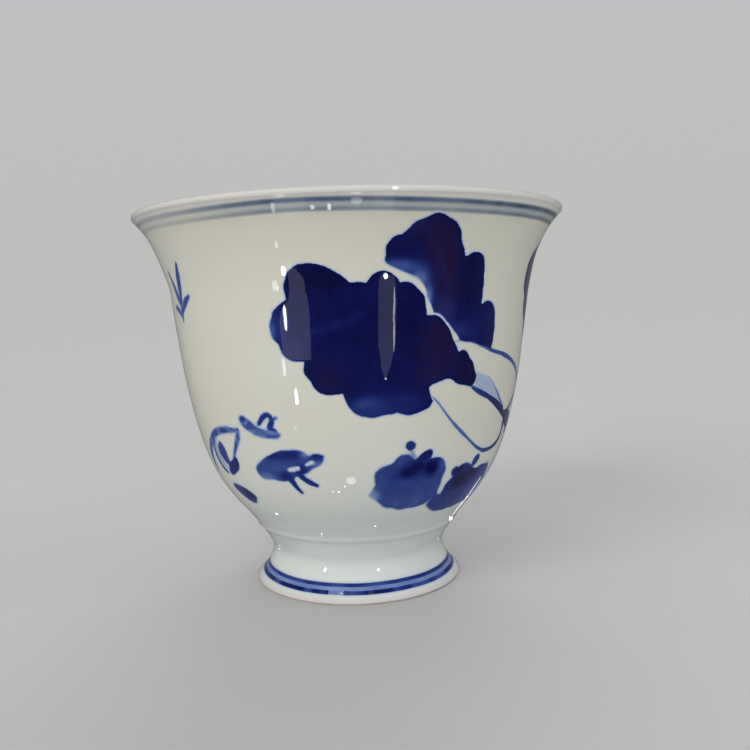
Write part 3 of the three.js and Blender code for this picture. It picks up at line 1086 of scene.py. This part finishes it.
SKY = (0.90, 0.93, 0.97, 1)
DIM_ROOM_IN_FRONT = (0.045, 0.045, 0.050, 1)
PALE_ROOM_BEHIND = (0.240, 0.245, 0.255, 1)
WALL_AT_THE_FLOOR = (0.717, 0.717, 0.707, 1)
WALL_ABOVE = (0.72, 0.73, 0.75, 1)


def sky():
    """A pale room: soft light for the clay, a dim room for the glaze to mirror, a plain wall to see."""
    world = bpy.data.worlds.new("pale_room")
    bpy.context.scene.world = world
    graph = Graph(world)
    ray = graph.node("ShaderNodeLightPath").outputs
    direction = graph.node("ShaderNodeTexCoord").outputs["Generated"]
    _, backwards, upwards = graph.node("ShaderNodeSeparateXYZ", {0: direction}).outputs
    rise = graph.step(upwards, 0.0, 0.5, easing="SMOOTHERSTEP")
    behind = graph.step(backwards, -0.3, 0.6, easing="SMOOTHERSTEP")
    wall = graph.mix(rise, WALL_AT_THE_FLOOR, WALL_ABOVE)
    mirrored = graph.mix(behind, DIM_ROOM_IN_FRONT, PALE_ROOM_BEHIND)
    lit = graph.mix(ray["Is Glossy Ray"], SKY, mirrored)
    background = graph.nodes["Background"].inputs
    graph.put(background["Color"], graph.mix(ray["Is Camera Ray"], lit, wall))
    graph.put(background["Strength"], 0.72)


def mirrored_place(azimuth, height, distance):
    """Where the camera's look at a place on the wall goes to, mirrored in the glaze."""
    outline = closed(outer_rows(600)[:-1], lip_arc(0, 85, 60))
    radius = np.interp(height, outline[:, 1], outline[:, 0])
    slope = np.interp(height, outline[:, 1], np.gradient(outline[:, 0]) / np.gradient(outline[:, 1]))
    outwards = np.array([math.sin(azimuth), -math.cos(azimuth), -slope]) / math.hypot(1, slope)
    place = np.array([radius * math.sin(azimuth), -radius * math.cos(azimuth), height])
    look = place - CAMERA_PLACE
    look /= np.linalg.norm(look)
    return place + distance * (look - 2 * look.dot(outwards) * outwards)


def mirrored_card(name, left_edge, right_edge, brightness, distance):
    """A glowing card that the glaze shows between two edges on the wall, each a run of (across, up)."""
    columns = 3
    places = []
    for left, right in zip(left_edge, right_edge):
        for share in np.linspace(0, 1, columns):
            across = left[0] + share * (right[0] - left[0])
            up = left[1] + share * (right[1] - left[1])
            places.append(tuple(mirrored_place(across / WALL_RADIUS, up, distance) * MM))
    faces = []
    for row in range(len(left_edge) - 1):
        for column in range(columns - 1):
            corner = row * columns + column
            faces.append((corner, corner + 1, corner + columns + 1, corner + columns))
    glowing_card(name, places, faces, brightness)


def glowing_card(name, places, faces, brightness):
    """A card that only the glaze sees."""
    mesh = bpy.data.meshes.new(name)
    mesh.from_pydata(places, [], faces)
    mesh.materials.append(glow_material(name, brightness))
    card = bpy.data.objects.new(name, mesh)
    bpy.context.scene.collection.objects.link(card)
    card.visible_camera = False
    card.visible_diffuse = False
    card.visible_shadow = False
    card.visible_transmission = False


def glow_material(name, brightness):
    graph = material_graph(name)
    glow = graph.node("ShaderNodeEmission", {"Color": (0.95, 0.97, 1.0, 1), "Strength": brightness})
    graph.put(graph.nodes["Material Output"].inputs["Surface"], glow.outputs[0])
    return graph.owner


def strip(across, half_width, bottom, top, rows=11):
    """The two edges of an upright strip on the wall, with round ends."""
    left, right = [], []
    for share in np.linspace(-1, 1, rows):
        up = (bottom + top) / 2 + share * (top - bottom) / 2
        reach = half_width * max(math.sqrt(1 - share**4), 0.15)
        left.append((across - reach, up))
        right.append((across + reach, up))
    return left, right


# What the glaze mirrors, by the left and the right edge that it has on the wall. These places and the
# marks' were read off the photo in the same way as the motif's.
LEFT_WINDOW_LEFT = [
    (-10.2, 44.8), (-10.3, 47.0), (-10.3, 51.0), (-9.6, 53.0), (-8.7, 54.2), (-8.3, 55.8), (-8.3, 58.0),
    (-8.2, 60.5),
]
LEFT_WINDOW_RIGHT = [
    (-5.6, 44.8), (-5.5, 47.0), (-5.5, 51.0), (-5.5, 53.0), (-5.6, 54.6), (-6.0, 56.8), (-6.8, 58.6),
    (-7.9, 60.5),
]
EDGE_STREAK_LEFT = [(34.7, 21.0), (34.0, 19.2), (33.8, 17.2), (34.0, 15.2), (34.6, 13.2), (35.8, 11.8)]
EDGE_STREAK_RIGHT = [(35.4, 21.0), (35.1, 19.2), (35.0, 17.2), (35.2, 15.2), (35.7, 13.2), (36.4, 11.8)]
DOOR_LEFT = [(6.1, 41.2), (5.6, 42.4), (5.0, 47.1), (5.0, 52.8), (5.1, 56.5), (5.7, 57.4)]
DOOR_RIGHT = [(6.2, 41.2), (6.5, 42.3), (7.6, 46.5), (7.8, 52.0), (7.6, 56.2), (6.9, 57.4)]

# Bright marks in the glaze: (across, half width, bottom, top, brightness).
MARKS = [
    (-9.35, 0.26, 49.4, 53.4, 30), (-8.85, 0.38, 57.8, 59.4, 40), (-10.5, 0.40, 55.7, 57.1, 6),
    (-10.2, 0.20, 55.8, 56.3, 16), (-10.3, 0.26, 42.0, 45.2, 8), (-8.6, 0.26, 37.4, 40.2, 30),
    (-9.4, 0.25, 33.0, 34.0, 3), (-9.3, 0.26, 61.9, 62.9, 6), (7.45, 0.13, 45.5, 55.8, 9),
    (6.1, 0.30, 56.8, 57.7, 40), (6.1, 0.16, 41.1, 41.5, 16), (-1.4, 0.20, 23.25, 23.55, 22),
    (-0.1, 0.90, 23.7, 25.0, 6), (-2.7, 0.24, 22.05, 22.45, 30), (-3.9, 0.25, 22.2, 22.5, 9),
    (-20.2, 0.32, 16.6, 17.1, 14), (-11.4, 0.40, 4.95, 5.35, 40), (7.8, 0.38, 5.05, 5.35, 40),
    (5.4, 0.30, 14.7, 15.0, 14), (36.3, 0.40, 7.9, 8.1, 10), (-35.6, 0.30, 6.9, 7.1, 6),
    (-3.5, 0.26, 67.2, 67.8, 12), (-1.4, 0.24, 67.0, 67.9, 14), (2.0, 0.70, 67.8, 68.7, 4),
    (6.6, 0.36, 69.52, 70.05, 12), (34.5, 0.28, 16.9, 19.0, 14), (35.6, 0.40, 11.9, 12.9, 9),
]

# How far the cards stand from the wall. Near its strong bends they stand close, to stay small.
VEIL_DISTANCE = 14
MARK_DISTANCE = 9
BEND_DISTANCE = 4
STRAIGHT_WALL = (30, 62)


def glints():
    """Windows and lamps as the glaze shows them: two tall veils, and bright marks."""
    window = spline(LEFT_WINDOW_LEFT, 30), spline(LEFT_WINDOW_RIGHT, 30)
    door = spline(DOOR_LEFT, 30), spline(DOOR_RIGHT, 30)
    mirrored_card("left_window", *window, 1.0, VEIL_DISTANCE)
    mirrored_card("door", *door, 0.8, VEIL_DISTANCE)
    for count, (across, half_width, bottom, top, brightness) in enumerate(MARKS, 1):
        straight = STRAIGHT_WALL[0] < bottom < STRAIGHT_WALL[1]
        distance = MARK_DISTANCE if straight else BEND_DISTANCE
        mirrored_card(f"mark_{count}", *strip(across, half_width, bottom, top), brightness, distance)
    mirrored_card("edge_streak", EDGE_STREAK_LEFT, EDGE_STREAK_RIGHT, 2, BEND_DISTANCE)
    back_window()


def back_window():
    """A tall window behind the cup, which only the glaze on the far side mirrors."""
    corners = [(-0.20, 1.2, -0.9), (0.14, 1.2, -0.9), (0.14, 1.2, 0.6), (-0.20, 1.2, 0.6)]
    glowing_card("back_window", corners, [(0, 1, 2, 3)], 0.9)


camera()
table()
sky()
soft_light("key", (-0.50, -0.55, 0.40), 34, 1.12, (1.0, 0.98, 0.93))
soft_light("low_fill", (0.15, -0.75, 0.05), 40, 1.15, (0.95, 0.98, 1.0))
soft_light("right_fill", (0.65, -0.15, 0.30), 34, 0.20, (0.97, 0.99, 1.0))
soft_light("back", (0.1, 0.6, 0.5), 40, 0.80)
glints()
bpy.context.scene.view_settings.view_transform = "Standard"
